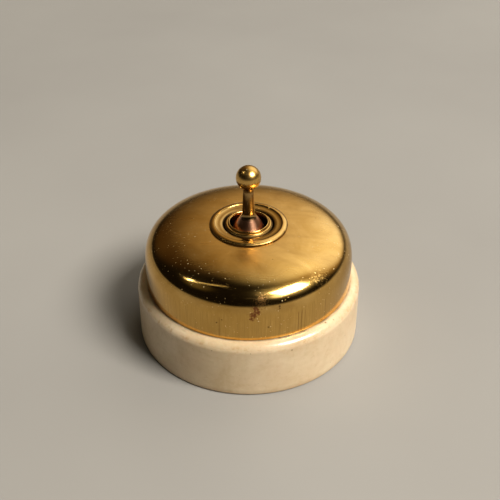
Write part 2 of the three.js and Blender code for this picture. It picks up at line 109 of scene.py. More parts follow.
# ---- outlines ----------------------------------------------------------------------------
def rounded(corners, closed=True, steps=5):
    """Turns (a, b) or (a, b, radius) corners into points, each corner with a radius rounded off."""
    points = []
    count = len(corners)
    for i, corner in enumerate(corners):
        here = Vector(corner[:2])
        radius = corner[2] if len(corner) > 2 else 0
        at_end = not closed and i in (0, count - 1)
        if radius == 0 or at_end:
            points.append(tuple(here))
            continue
        back = Vector(corners[i - 1][:2]) - here
        ahead = Vector(corners[(i + 1) % count][:2]) - here
        half = back.angle(ahead) / 2
        reach = min(radius / math.tan(half), 0.48 * back.length, 0.48 * ahead.length)
        start, stop = here + back.normalized() * reach, here + ahead.normalized() * reach
        centre = here + (back.normalized() + ahead.normalized()).normalized() * (reach / math.cos(half))
        first, last = start - centre, stop - centre
        sweep = first.angle_signed(last)
        for k in range(steps + 1):
            turn = -sweep * k / steps
            spun = Vector((first.x * math.cos(turn) - first.y * math.sin(turn),
                           first.x * math.sin(turn) + first.y * math.cos(turn)))
            points.append(tuple(centre + spun))
    return points


def arc(centre, radii, start, stop, steps):
    """Points along an elliptic arc, both ends included, angles in degrees."""
    angles = [math.radians(start + (stop - start) * i / steps) for i in range(steps + 1)]
    return [(centre[0] + radii[0] * math.cos(a), centre[1] + radii[1] * math.sin(a)) for a in angles]


def mirrored(corners):
    """The corners on the other side of the middle, in reverse order."""
    return [(-corner[0], *corner[1:]) for corner in corners[::-1]]


def limits(side, inner, outer):
    """A stretch of X on the left (side -1) or right (side 1), the lower limit first."""
    return sorted((side * inner, side * outer))


def wall(radius, start, stop, step):
    """An upright stretch of profile with points close enough to carry a thread."""
    count = max(2, round(abs(stop - start) / step))
    return [(radius, start + (stop - start) * i / count) for i in range(count + 1)]


# ---- mesh building -----------------------------------------------------------------------
def shade(piece, angle=32):
    """Smooth shading, with edges sharper than the angle kept crisp."""
    mesh = piece.data
    mesh.polygons.foreach_set("use_smooth", [True] * len(mesh.polygons))
    mesh.set_sharp_from_angle(angle=math.radians(angle))
    return piece


def piece_from(name, bm):
    bmesh.ops.recalc_face_normals(bm, faces=bm.faces)
    mesh = bpy.data.meshes.new(name)
    bm.to_mesh(mesh)
    bm.free()
    piece = bpy.data.objects.new(name, mesh)
    bpy.context.scene.collection.objects.link(piece)
    return piece


def threaded(radius, start, stop, depth, pitch=THREAD_PITCH):
    """A function that cuts a right-handed thread into one upright wall of a profile.

    The depth is negative where the wall is the inside of a bore.
    """
    def cut(r, z, turn):
        if abs(r - radius) > 0.02 or not start <= z <= stop:
            return r
        run_out = min(1, (z - start) / (0.6 * pitch), (stop - z) / (0.6 * pitch))
        wave = 0.5 + 0.5 * math.cos(2 * math.pi * (z / pitch - turn))
        return r - depth * run_out * wave
    return cut


def turned(name, profile, segments, thread=None):
    """Revolves an (r, z) profile about Z. It starts and ends on the axis, or closes on itself."""
    bm = bmesh.new()
    rings = []
    for r, z in profile:
        if r < 1e-4:
            rings.append([bm.verts.new((0, 0, z * MM))])
            continue
        ring = []
        for i in range(segments):
            turn = i / segments
            reach = (thread(r, z, turn) if thread else r) * MM
            angle = 2 * math.pi * turn
            ring.append(bm.verts.new((reach * math.cos(angle), reach * math.sin(angle), z * MM)))
        rings.append(ring)
    pairs = list(zip(rings, rings[1:]))
    if len(rings[0]) > 1:
        pairs.append((rings[-1], rings[0]))
    for one, two in pairs:
        for i in range(segments):
            j = (i + 1) % segments
            if len(one) == 1:
                bm.faces.new((one[0], two[i], two[j]))
            elif len(two) == 1:
                bm.faces.new((one[i], two[0], one[j]))
            else:
                bm.faces.new((one[i], two[i], two[j], one[j]))
    return shade(piece_from(name, bm))


def pressed(name, outline, axis, start, stop):
    """Gives a flat outline a thickness along X, Y or Z; the outline is in the other two, in order."""
    across = "XYZ".index(axis)
    bm = bmesh.new()

    def row(level):
        places = [(*point[:across], level, *point[across:]) for point in outline]
        return [bm.verts.new(Vector(place) * MM) for place in places]

    near, far = row(start), row(stop)
    bm.faces.new(near)
    bm.faces.new(far)
    for i in range(len(outline)):
        j = (i + 1) % len(outline)
        bm.faces.new((near[i], near[j], far[j], far[i]))
    return piece_from(name, bm)


def block(name, x, y, z, corner=0.0):
    """A box between three pairs of limits, its upright corners rounded."""
    plan = [(x[0], y[0], corner), (x[1], y[0], corner), (x[1], y[1], corner), (x[0], y[1], corner)]
    return pressed(name, rounded(plan, steps=6), "Z", z[0], z[1])


def rod(radius, centre, axis, start, stop, segments=SMALL):
    """A plain cylinder for cutting and joining; centre is in the two other axes, in order."""
    return pressed("rod", arc(centre, (radius, radius), 0, 360 * (1 - 1 / segments), segments - 1),
                   axis, start, stop)


def settle(piece):
    """Applies the piece's modifiers to its mesh."""
    graph = bpy.context.evaluated_depsgraph_get()
    mesh = bpy.data.meshes.new_from_object(piece.evaluated_get(graph))
    piece.modifiers.clear()
    old = piece.data
    piece.data = mesh
    bpy.data.meshes.remove(old)
    return piece


def carve(piece, tools, operation="DIFFERENCE"):
    for tool in tools:
        modifier = piece.modifiers.new("carve", "BOOLEAN")
        modifier.operation = operation
        modifier.solver = "EXACT"
        modifier.object = tool
    settle(piece)
    for tool in tools:
        mesh = tool.data
        bpy.data.objects.remove(tool)
        bpy.data.meshes.remove(mesh)
    return piece


def soften(piece, width, segments=3, angle=38):
    """Breaks every crisp edge with a small round, and keeps the flat faces flat in shading."""
    bevel = piece.modifiers.new("edges", "BEVEL")
    bevel.width = width * MM
    bevel.segments = segments
    bevel.limit_method = "ANGLE"
    bevel.angle_limit = math.radians(angle)
    bevel.miter_outer = "MITER_ARC"
    bevel.use_clamp_overlap = True
    settle(piece)
    shade(piece, 40)
    weighted = piece.modifiers.new("normals", "WEIGHTED_NORMAL")
    weighted.keep_sharp = True
    weighted.weight = 80
    return settle(piece)


def move(piece, place=(0, 0, 0), rotation=(0, 0, 0)):
    """Moves a mesh within its object, so that the object itself stays at the row's origin."""
    turn = Matrix.Rotation(rotation[2], 4, "Z") @ Matrix.Rotation(rotation[1], 4, "Y")
    turn = turn @ Matrix.Rotation(rotation[0], 4, "X")
    piece.data.transform(Matrix.Translation(Vector(place) * MM) @ turn)
    return piece


BODIES = frame["record"]["behaviour"]["bodies"]
BODY_OF = {node: body for body, nodes in BODIES.items() for node in nodes}


def stand_for(piece, node, material):
    """Puts a finished piece in its CAD node's place."""
    piece.name = node + "_fine"
    piece.data.name = piece.name
    piece.data.materials.clear()
    piece.data.materials.append(material)
    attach(piece, BODY_OF[node])
    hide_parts(node)
    return piece


# ---- materials ---------------------------------------------------------------------------
class Nodes:
    """Short calls that add nodes to a tree. A value is a number, a colour, a place or a socket."""

    def __init__(self, tree):
        self.nodes, self.links = tree.nodes, tree.links

    def feed(self, socket, value):
        if isinstance(value, bpy.types.NodeSocket):
            self.links.new(value, socket)
        else:
            socket.default_value = value

    def add(self, kind, **inputs):
        """A new node with its named inputs fed."""
        node = self.nodes.new("ShaderNode" + kind)
        for name, value in inputs.items():
            self.feed(node.inputs[name.replace("_", " ").title()], value)
        return node

    def math(self, operation, a, b=0.0, clamp=False):
        node = self.add("Math")
        node.operation = operation
        node.use_clamp = clamp
        self.feed(node.inputs[0], a)
        self.feed(node.inputs[1], b)
        return node.outputs[0]

    def between(self, operation, a, b):
        """A number that follows from two places or directions."""
        node = self.add("VectorMath")
        node.operation = operation
        self.feed(node.inputs[0], a)
        self.feed(node.inputs[1], b)
        return node.outputs["Value"]

    def times(self, a, b, clamp=False):
        return self.math("MULTIPLY", a, b, clamp)

    def plus(self, a, b, clamp=False):
        return self.math("ADD", a, b, clamp)

    def minus(self, a, b, clamp=False):
        return self.math("SUBTRACT", a, b, clamp)

    def most(self, a, b):
        return self.math("MAXIMUM", a, b)

    def spread(self, value, low_out, high_out, low_in=0.0, high_in=1.0, shape="LINEAR"):
        """Maps a value from one range to another, clamped."""
        node = self.add("MapRange", value=value, from_min=low_in, from_max=high_in,
                        to_min=low_out, to_max=high_out)
        node.interpolation_type = shape
        return node.outputs[0]

    def within(self, value, start, stop):
        """0 below start, 1 above stop, smooth between; start may be the larger one."""
        ends = (0, 1) if start < stop else (1, 0)
        return self.spread(value, *ends, min(start, stop), max(start, stop), "SMOOTHSTEP")

    def band(self, value, start, full, fade, stop):
        """1 between full and fade, 0 before start and after stop, all in millimetres."""
        rising = self.within(value, start * MM, full * MM)
        return self.times(rising, self.within(value, stop * MM, fade * MM))

    def vector(self, x, y, z):
        return self.add("CombineXYZ", x=x, y=y, z=z).outputs[0]

    def colours(self, amount, *stops):
        node = self.nodes.new("ShaderNodeValToRGB")
        ramp = node.color_ramp
        while len(ramp.elements) < len(stops):
            ramp.elements.new(0.5)
        for element, (position, colour) in zip(ramp.elements, stops):
            element.position = position
            element.color = (*colour, 1)
        self.links.new(amount, node.inputs[0])
        return node.outputs[0]

    def mix(self, amount, a, b, way="MIX"):
        node = self.add("Mix")
        node.data_type = "RGBA"
        node.blend_type = way
        self.feed(node.inputs["Factor"], amount)
        for socket, value in ((node.inputs[6], a), (node.inputs[7], b)):
            self.feed(socket, value if isinstance(value, bpy.types.NodeSocket) else (*value, 1))
        return node.outputs[2]


class Finish(Nodes):
    """A principled material. Its patterns run in the row's frame, in metres."""

    def __init__(self, name):
        self.material = bpy.data.materials.new(name)
        self.material.use_nodes = True
        super().__init__(self.material.node_tree)
        self.surface = self.nodes["Principled BSDF"]
        self.place = self.add("TexCoord").outputs["Object"]
        self.x, self.y, self.z = self.add("SeparateXYZ", vector=self.place).outputs

    def fixed(self, **values):
        """Sets sockets of the shader that are the same all over the surface."""
        for name, value in values.items():
            self.surface.inputs[name.replace("_", " ").title()].default_value = value

    def wire(self, name, socket):
        self.links.new(socket, self.surface.inputs[name])

    def stretched(self, scale, rotation=(0, 0, 0), offset=(0, 0, 0)):
        """The row's position, turned and scaled apart along its axes."""
        node = self.add("Mapping", vector=self.place, location=offset, rotation=rotation, scale=scale)
        return node.outputs[0]

    def noise(self, scale, detail=2.0, rough=0.5, warp=0.0, at=None):
        node = self.add("TexNoise", vector=at or self.place, scale=scale, detail=detail,
                        roughness=rough, distortion=warp)
        return node.outputs["Fac"]

    def spots(self, scale, size, share, at=None):
        """Scattered round spots: 1 inside, 0 outside. share is how many of the cells hold one."""
        node = self.add("TexVoronoi", vector=at or self.place, scale=scale)
        pick = self.add("SeparateColor", color=node.outputs["Color"])
        chosen = self.math("LESS_THAN", pick.outputs[0], share)
        radius = self.spread(pick.outputs[1], 0.4 * size, size)
        reached = self.math("DIVIDE", node.outputs["Distance"], radius)
        inside = self.minus(1.0, reached, clamp=True)
        return self.times(self.times(inside, 2.0, clamp=True), chosen)

    def bump(self, height, depth, under=None):
        """A bump whose full height is depth, in millimetres."""
        node = self.add("Bump", height=height, distance=depth * MM, strength=1.0)
        if under is not None:
            self.links.new(under, node.inputs["Normal"])
        return node.outputs[0]

    def radius(self):
        """Distance from the row's Z axis."""
        return self.math("SQRT", self.plus(self.times(self.x, self.x), self.times(self.y, self.y)))

    def near(self, spot, reach, ragged=0.0, grain=900):
        """1 at a place given in millimetres, falling to 0 at reach, with a ragged edge."""
        distance = self.between("DISTANCE", self.place, Vector(spot) * MM)
        if ragged:
            wander = self.spread(self.noise(grain, 4, 0.7), -ragged * MM, ragged * MM, 0.25, 0.75)
            distance = self.plus(distance, wander)
        return self.within(distance, reach * MM, 0.3 * reach * MM)


def strongest(f, values):
    """The largest of several values at each place."""
    top = values[0]
    for value in values[1:]:
        top = f.most(top, value)
    return top


BRASS_LIGHT = (0.68, 0.45, 0.165)
BRASS_DEEP = (0.53, 0.325, 0.095)
BRASS_BROWN = (0.27, 0.15, 0.05)
COPPER_RED = (0.22, 0.065, 0.03)


def patina(f):
    """Cloudy old brass. Gives its colour and the slow smears that its polish follows."""
    cloud = f.noise(95, 5, 0.62, 0.6)
    smear = f.noise(30, 4, 0.6, 1.2)
    colour = f.colours(cloud, (0.30, BRASS_DEEP), (0.62, BRASS_LIGHT))
    return f.mix(f.spread(smear, 0.0, 0.5, 0.50, 0.78), colour, BRASS_BROWN), smear


def hairlines(f, share=0.66):
    """Fine straight wiping scratches in three directions: 1 in a scratch."""
    lines = []
    for turn, offset in ((0.35, 0.0), (1.25, 3.1), (2.3, 7.7)):
        grain = f.stretched((140, 5200, 1300), (0.2, 0.1, turn), (offset, 0, 0))
        lines.append(f.spread(f.noise(1.0, 2, 0.5, at=grain), 0.0, 1.0, share, share + 0.13))
    return strongest(f, lines)


def dust_and_pits(f, colour, rough, normal, dust_share, pit_share):
    """Pale specks of dust lying on the metal, and small dark pits etched into it."""
    coarse_grid = f.stretched((1, 1, 1), (0.4, 0.9, 0.2), (0.013, 0.02, 0.007))
    fine_grid = f.stretched((1, 1, 1), (1.3, 0.2, 0.8), (0.003, 0.009, 0.031))
    specks = f.spots(600, 0.105, dust_share, at=coarse_grid)
    fine_specks = f.spots(1150, 0.135, dust_share, at=fine_grid)
    drifts = f.spread(f.noise(110, 3, 0.6), 0.25, 1.0, 0.35, 0.60)
    dust = f.times(f.most(specks, fine_specks), drifts)
    pits = f.spots(640, 0.12, pit_share)
    colour = f.mix(dust, colour, (0.78, 0.67, 0.46))
    colour = f.mix(f.times(pits, 0.75), colour, (0.10, 0.05, 0.02))
    rough = f.plus(rough, f.times(f.plus(pits, dust), 0.5), clamp=True)
    normal = f.bump(f.minus(dust, pits), 0.03, under=normal)
    f.wire("Metallic", f.spread(dust, 1.0, 0.25))
    return colour, rough, normal


def tooled(f, scratches, across, upward, tool_share, scratch_share, waves, wave_depth):
    """Fine turning lines and wiping scratches, over the slow waves of a hand-polished face."""
    turning = f.noise(1.0, 3, 0.7, at=f.vector(f.times(f.radius(), across), 0.0, f.times(f.z, upward)))
    height = f.minus(f.times(turning, tool_share), f.times(scratches, scratch_share))
    return f.bump(height, 0.0016, under=f.bump(f.noise(waves, 2, 0.5), wave_depth))


def finished(f, colour, rough, normal):
    f.wire("Base Color", colour)
    f.wire("Roughness", rough)
    f.wire("Normal", normal)
    return f.material


def cover_brass():
    """The cover: satin on top from hand polishing, brighter on the shoulder, brushed up the skirt."""
    f = Finish("brass_cover")
    colour, smear = patina(f)
    on_top = f.within(f.z, (COVER_TOP - 2.6) * MM, (COVER_TOP - 0.7) * MM)
    on_skirt = f.within(f.z, (SKIRT_TOP + 5.5) * MM, (SKIRT_TOP + 3.5) * MM)

    wiped = f.noise(1.0, 4, 0.6, at=f.stretched((60, 420, 60), (0, 0, 0.45)))
    colour = f.mix(f.times(f.spread(wiped, 0.0, 0.17, 0.45, 0.75), on_top), colour, BRASS_BROWN)
    rough = f.plus(f.spread(smear, 0.10, 0.18, 0.3, 0.75), f.times(on_top, 0.17))
    rough = f.plus(rough, f.times(f.spread(wiped, -0.03, 0.05, 0.3, 0.7), on_top))
    scratches = hairlines(f)
    rough = f.plus(rough, f.times(scratches, 0.12))
    normal = tooled(f, scratches, across=4200, upward=0, tool_share=0.3, scratch_share=0.8,
                    waves=240, wave_depth=0.012)

    brushed = f.noise(1.0, 4, 0.7, at=f.stretched((3600, 3600, 70)))
    normal = f.bump(f.times(brushed, on_skirt), 0.010, under=normal)
    broad = f.noise(1.0, 4, 0.6, at=f.stretched((420, 420, 260), (0, 0, 0.3)))
    skirt_colour = f.mix(broad, (0.58, 0.35, 0.095), (0.72, 0.48, 0.165))
    colour = f.mix(f.times(on_skirt, 0.75), colour, skirt_colour)
    uneven = f.times(f.spread(broad, 0.16, 0.50, 0.40, 0.62), on_skirt)
    dark_line = f.times(f.spread(brushed, 0.0, 0.8, 0.48, 0.66), uneven)
    pale_line = f.times(f.spread(brushed, 0.9, 0.0, 0.32, 0.48), uneven)
    colour = f.mix(dark_line, colour, BRASS_BROWN)
    colour = f.mix(pale_line, colour, (0.86, 0.58, 0.23))
    rough = f.plus(rough, f.times(dark_line, 0.10))
    rough = f.minus(rough, f.times(on_skirt, 0.04))

    colour, rough = cover_marks(f, colour, rough)
    colour, rough, normal = dust_and_pits(f, colour, rough, normal, 0.85, 0.12)
    return finished(f, colour, rough, normal)


# Marks on the brass and the glaze, placed about where they are seen. Each has its place and how far it
# reaches, in millimetres, and the larger ones how ragged their edge is.
STAIN = (((1.3, -29.0, 25.7), 1.3, 1.1), ((0.8, -29.1, 24.5), 0.8, 0.6),
         ((2.3, -28.8, 26.3), 0.9, 0.8), ((1.9, -28.6, 27.3), 1.3, 1.2))
SMEAR_ABOVE_STAIN = ((3.1, -27.6, 29.0), 1.9, 2.0)
SCUFF = ((18.9, -18.6, 30.6), 3.6, 2.6)
DARK_TICKS = (((7.9, -27.6, 27.5), 0.42), ((8.0, -27.9, 26.9), 0.35), ((5.1, -28.8, 21.5), 0.4),
              ((-8.3, -28.0, 22.4), 0.35), ((-6.9, -28.4, 23.6), 0.3))
# Upright rubbed lines: degrees round from the front towards +X, half width in degrees, colour.
RUBBED_LINES = ((26.3, 0.45, BRASS_BROWN), (27.2, 0.4, BRASS_LIGHT), (28.2, 0.45, BRASS_BROWN),
                (29.1, 0.4, BRASS_LIGHT), (30.3, 0.3, BRASS_BROWN), (44.0, 0.3, BRASS_BROWN),
                (-15.0, 0.3, BRASS_BROWN))
GLAZE_SPECKS = (((11.4, -29.9, 14.4), 0.42), ((20.6, -21.8, 17.0), 0.38), ((22.9, -20.4, 16.9), 0.3))


def cover_marks(f, colour, rough):
    """The cover's own marks: a red-brown stain, a smear, a scuff, dark ticks and rubbed lines."""
    stain = strongest(f, [f.near(*patch, 2300) for patch in STAIN])
    colour = f.mix(f.times(stain, 0.85), colour, COPPER_RED)
    smear = f.near(*SMEAR_ABOVE_STAIN, 2300)
    colour = f.mix(f.times(smear, 0.6), colour, (0.40, 0.18, 0.07))
    rough = f.plus(rough, f.times(f.most(stain, smear), 0.14))
    scuffed = f.near(*SCUFF, 1500)
    rough = f.plus(rough, f.times(scuffed, f.spread(f.noise(1900, 3, 0.7), 0.0, 0.22, 0.4, 0.7)))
    for spot, reach in DARK_TICKS:
        colour = f.mix(f.times(f.near(spot, reach, 0.1), 0.75), colour, (0.09, 0.04, 0.015))
    angle = f.math("ARCTAN2", f.y, f.x)
    low_down = f.band(f.z, 17.6, 18.4, 23.8, 25.0)
    for degrees, width, tone in RUBBED_LINES:
        away = f.math("ABSOLUTE", f.minus(angle, math.radians(degrees - 90)))
        rubbed = f.times(f.times(f.within(away, math.radians(width), 0.0), low_down), 0.6)
        colour = f.mix(rubbed, colour, tone)
    return colour, rough


def turned_brass():
    """Ring and neck: turned brass kept bright by handling, dark where the polish can't reach, with grime
    and painted shade in the groove, the rim's crease and round the foot.
    """
    f = Finish("brass_turned")
    radius = f.radius()
    colour, smear = patina(f)
    dish = f.band(radius, 6.6, 7.4, 9.0, 9.6)
    colour = f.mix(f.times(dish, f.spread(smear, 0.4, 0.75, 0.35, 0.65)), colour, (0.24, 0.155, 0.055))
    # Near-black in the groove between neck and ring, in the crease of the neck's rim and round the ring's
    # foot: grime and painted shade.
    groove = f.band(radius, 6.15, 6.5, 7.1, 7.5)
    rim_crease = f.within(f.math("ABSOLUTE", f.minus(radius, 5.72 * MM)), 0.16 * MM, 0.04 * MM)
    patchy = f.spread(f.noise(400, 4, 0.7), 0.2, 1.0, 0.4, 0.6)
    ring_foot = f.times(f.within(radius, 10.3 * MM, 10.8 * MM), patchy)
    grime_and_shade = strongest(f, (groove, f.times(rim_crease, 0.7), ring_foot))
    colour = f.mix(f.times(grime_and_shade, 0.85), colour, (0.035, 0.018, 0.008))

    scratches = hairlines(f, 0.70)
    rough = f.plus(f.spread(smear, 0.13, 0.22, 0.3, 0.75), f.times(scratches, 0.1))
    rough = f.plus(rough, f.times(grime_and_shade, 0.35))
    normal = tooled(f, scratches, across=5200, upward=5200, tool_share=0.5, scratch_share=0.5,
                    waves=600, wave_depth=0.006)
    colour, rough, normal = dust_and_pits(f, colour, rough, normal, 0.5, 0.1)
    return finished(f, colour, rough, normal)


def lever_brass():
    """The lever: a handled ball, a stem darkened to greyer brown brass for tarnish and painted shade, and a
    mottled coppery bell.
    """
    f = Finish("brass_lever")
    colour, smear = patina(f)
    under_ball = (LEVER_TOP - 2 * BALL_RADIUS) * MM
    bell_top = (LEVER_PIVOT + 6.0) * MM
    on_stem = f.within(f.z, under_ball + 1.0 * MM, under_ball - 0.4 * MM)
    on_bell = f.within(f.z, bell_top, bell_top - 1.2 * MM)
    # The stem is darkened to a greyer brown brass: tarnish and painted shade.
    tarnish = f.spread(f.noise(260, 4, 0.65, 0.5), 0.6, 0.95, 0.35, 0.65)
    colour = f.mix(f.times(on_stem, tarnish), colour, (0.34, 0.235, 0.115))
    mottled = f.spread(f.noise(210, 3, 0.6), 0.0, 1.0, 0.35, 0.65)
    copper = f.mix(mottled, (0.50, 0.245, 0.15), (0.76, 0.44, 0.30))
    colour = f.mix(f.times(on_bell, 0.92), colour, copper)

    scratches = hairlines(f, 0.68)
    rough = f.plus(f.spread(smear, 0.26, 0.32, 0.3, 0.75), f.times(scratches, 0.1))
    rough = f.minus(rough, f.times(f.minus(on_stem, on_bell), 0.12))
    normal = tooled(f, scratches, across=2600, upward=5200, tool_share=0.8, scratch_share=0.5,
                    waves=600, wave_depth=0.008)
    colour, rough, normal = dust_and_pits(f, colour, rough, normal, 0.35, 0.15)
    return finished(f, colour, rough, normal)


def glazed_ceramic():
    """Cream glaze, glossier on the rounded edge, with faint clouds, specks, and grime and painted shade by
    the cover.
    """
    f = Finish("ceramic_cream")
    radius = f.radius()
    cloud = f.noise(75, 5, 0.6, 0.8)
    fine = f.noise(700, 4, 0.7, 0.3)
    colour = f.colours(cloud, (0.28, (0.56, 0.425, 0.255)), (0.70, (0.70, 0.57, 0.40)))
    colour = f.mix(f.spread(fine, 0.0, 0.40, 0.52, 0.78), colour, (0.46, 0.32, 0.17))
    colour = f.mix(f.spread(fine, 0.30, 0.0, 0.25, 0.45), colour, (0.75, 0.64, 0.47))
    blush = f.noise(34, 3, 0.5, 0.5)
    colour = f.mix(f.spread(blush, 0.0, 0.30, 0.48, 0.75), colour, (0.55, 0.37, 0.225))

    specks = f.most(f.spots(300, 0.085, 0.16), f.spots(800, 0.13, 0.10))
    colour = f.mix(f.times(specks, 0.7), colour, (0.15, 0.075, 0.03))
    for spot, reach in GLAZE_SPECKS:
        colour = f.mix(f.times(f.near(spot, reach, 0.12), 0.8), colour, (0.16, 0.07, 0.02))
    edge = f.band(f.z, LEDGE - 2.6, LEDGE - 1.6, LEDGE - 0.9, LEDGE - 0.2)
    rubbed = f.times(edge, f.spread(f.noise(520, 4, 0.75), 0.0, 0.55, 0.52, 0.70))
    colour = f.mix(rubbed, colour, (0.42, 0.24, 0.10))

    # Near-black patches on the ledge along the cover's foot: grime and painted shade at the joint.
    on_ledge = f.within(f.z, (LEDGE - 0.8) * MM, (LEDGE - 0.1) * MM)
    joint = f.band(radius, SPIGOT_RADIUS, SPIGOT_RADIUS + 0.3, COVER_RADIUS + 0.05, COVER_RADIUS + 0.45)
    patchy = f.spread(f.noise(230, 4, 0.6), 0.05, 0.55, 0.36, 0.62)
    grime_and_shade = f.times(f.times(joint, on_ledge), patchy)
    colour = f.mix(grime_and_shade, colour, (0.055, 0.03, 0.012))
    foot = f.within(f.plus(f.z, f.spread(cloud, -1.0 * MM, 1.0 * MM)), 2.2 * MM, 0.1 * MM)
    colour = f.mix(f.times(foot, 0.5), colour, (0.36, 0.23, 0.12))
    bare = f.within(f.z, 0.35 * MM, 0.05 * MM)
    colour = f.mix(bare, colour, (0.70, 0.62, 0.50))

    on_side = f.within(f.z, (LEDGE - 0.9) * MM, (LEDGE - 3.0) * MM)
    rough = f.plus(f.spread(on_side, 0.22, 0.46), f.spread(fine, -0.05, 0.09))
    rough = f.plus(rough, f.times(f.most(bare, grime_and_shade), 0.35), clamp=True)
    normal = f.bump(f.noise(1100, 4, 0.65), 0.012, under=f.bump(f.noise(130, 3, 0.5), 0.06))
    normal = f.bump(specks, 0.03, under=normal)
    f.fixed(subsurface_weight=0.08, subsurface_scale=0.002, coat_weight=0.2, coat_roughness=0.12)
    return finished(f, colour, rough, normal)


def worked_metal(name, light, dark, rough=(0.24, 0.42), grain=(900, 900, 120)):
    """Machined or rolled metal with drawn grain, faint tarnish and small marks."""
    f = Finish(name)
    tarnish = f.noise(230, 4, 0.6, 0.5)
    lines = f.noise(1.0, 3, 0.6, at=f.stretched(tuple(g * 3.0 for g in grain)))
    marks = f.spots(900, 0.14, 0.12)
    colour = f.colours(tarnish, (0.32, dark), (0.66, light))
    colour = f.mix(f.times(marks, 0.5), colour, tuple(c * 0.25 for c in dark))
    f.fixed(metallic=1.0)
    f.wire("Base Color", colour)
    f.wire("Roughness", f.plus(f.spread(tarnish, *rough), f.spread(lines, -0.05, 0.08)))
    f.wire("Normal", f.bump(lines, 0.004, under=f.bump(f.noise(500, 2), 0.006)))
    return f.material


def moulded(name, light, dark, rough):
    """A dull moulded or pressed insulating board with a fine fibrous grain."""
    f = Finish(name)
    grain = f.noise(1.0, 4, 0.7, at=f.stretched((2600, 700, 1500), (0.3, 0.2, 0.5)))
    cloud = f.noise(180, 4, 0.6, 0.4)
    flecks = f.spots(1300, 0.2, 0.12)
    colour = f.colours(cloud, (0.3, dark), (0.7, light))
    colour = f.mix(f.times(flecks, 0.4), colour, tuple(min(1, c * 1.9) for c in light))
    f.wire("Base Color", colour)
    f.wire("Roughness", f.spread(grain, rough - 0.08, rough + 0.1))
    f.wire("Normal", f.bump(grain, 0.02, under=f.bump(cloud, 0.03)))
    return f.material


# ---- turned pieces -----------------------------------------------------------------------
def cover_outline(inset, bottom, hole, steps):
    """The cover's outline, moved inward: an upright skirt and a rounded-square shoulder."""
    radius = COVER_RADIUS - inset
    rise = COVER_TOP - SKIRT_TOP - inset
    power = 2 / SQUARENESS
    points = wall(radius, bottom, SKIRT_TOP, 0.9)[:-1]
    for i in range(steps):
        turn = (math.pi / 2) * i / steps
        points.append((radius * math.cos(turn) ** power, SKIRT_TOP + rise * math.sin(turn) ** power))
    points = [p for p in points if p[0] > hole + 0.3]
    points.append((hole, SKIRT_TOP + rise * (1 - (hole / radius) ** SQUARENESS) ** (1 / SQUARENESS)))
    return points


def shell(name, inset, thickness, bottom, hole, steps):
    outer = cover_outline(inset, bottom, hole, steps)
    inner = cover_outline(inset + thickness, bottom, hole, steps)
    edge = thickness * 0.3
    lip = [(outer[0][0] - edge, bottom), (outer[0][0] - 0.25 * edge, bottom + 0.25 * edge)]
    foot = [(inner[0][0] + edge, bottom)]
    outer[0] = (outer[0][0], bottom + edge)
    inner[0] = (inner[0][0], bottom + edge)
    return turned(name, lip + outer + inner[::-1] + foot, FINE)


def dome_cover():
    """The spun cover, with the faint waves that hand spinning leaves in its wall."""
    cover = shell("cover", 0, COVER_WALL, COVER_FOOT, COVER_HOLE, 72)
    wave_depth = 0.018 * MM
    for vertex in cover.data.vertices:
        outward = Vector((vertex.co.x, vertex.co.y, 0)).normalized()
        ripple = noise.noise(vertex.co * 75) * 0.7 + noise.noise(vertex.co * 190) * 0.3
        sunk = wave_depth * (ripple - 1)
        vertex.co += Vector((outward.x * sunk, outward.y * sunk, sunk * 0.6))
    return cover


def locking_ring():
    """A rounded bead outside, a dished face inside and a threaded sleeve below."""
    foot, top = high("locking_ring").x, high("locking_ring").z
    crest, seat, bore, sleeve = 9.52, 34.18, 6.95, 7.95
    bottom, floor = low("locking_ring").z, 34.42
    bead = arc((crest, seat + 0.1), (foot - crest, top - seat - 0.1), 0, 90, 24)
    crown = arc((crest, top - 0.1), (0.14, 0.1), 90, 165, 6)[1:]
    edge = bore + 0.22
    dish_middle = edge + 0.9
    dish = arc((dish_middle, top - 0.1), (crest - 0.15 - dish_middle, top - 0.14 - floor), 0, -90, 20)[1:]
    profile = rounded([(bore + 0.1, bottom), (sleeve, bottom, 0.12), (sleeve, seat - 0.1, 0.05)],
                      closed=False)
    profile += [(sleeve + 0.1, seat), (foot - 0.1, seat), (foot, seat + 0.05)]
    profile += bead + crown + dish + [(edge + 0.1, floor), (edge, floor - 0.06), (bore, floor - 0.4)]
    profile += wall(bore, floor - 0.5, bottom + 0.1, 0.09)
    thread = threaded(bore, bottom, floor, -0.22)
    return turned("ring", profile, MEDIUM, thread)


def neck_collar():
    """The threaded neck: flange on the bridge, thread, a step and the rounded rim of the mouth."""
    bottom, top = low("neck_collar").z, high("neck_collar").z
    bore, mouth, flange, thread_radius = 5.5, 5.15, 8.6, 6.7
    step, step_top, rim = 6.33, 34.7, 5.65
    spigot = 5.9
    plate_top = PLATE[1]
    shoulder = plate_top + 1.2
    thread_top = 33.9
    profile = rounded([
        (bore, bottom, 0.1), (spigot, bottom, 0.1), (spigot, plate_top, 0.05), (flange, plate_top, 0.15),
        (flange, shoulder, 0.25), (thread_radius, shoulder, 0.2), (thread_radius, shoulder + 0.6)],
        closed=False)[1:]
    profile += wall(thread_radius, shoulder + 0.7, thread_top, 0.09)
    profile += arc((thread_radius - 0.25, thread_top + 0.15), (0.25, 0.25), 0, 85, 6)
    profile += arc((step - 0.32, step_top - 0.24), (0.32, 0.24), -10, 100, 12)
    middle, half = (rim + mouth) / 2, (rim - mouth) / 2
    profile += arc((middle, top - 0.36), (half, 0.36), -15, 180, 18)
    profile += [(mouth, top - 0.9), (bore, top - 1.4), (bore, bottom + 0.1)]
    thread = threaded(thread_radius, shoulder + 0.6, thread_top, 0.24)
    neck = turned("neck", profile, MEDIUM, thread)
    return carve(neck, [rod(0.9, (0, LEVER_PIVOT), "X", -9.5, 9.5)])


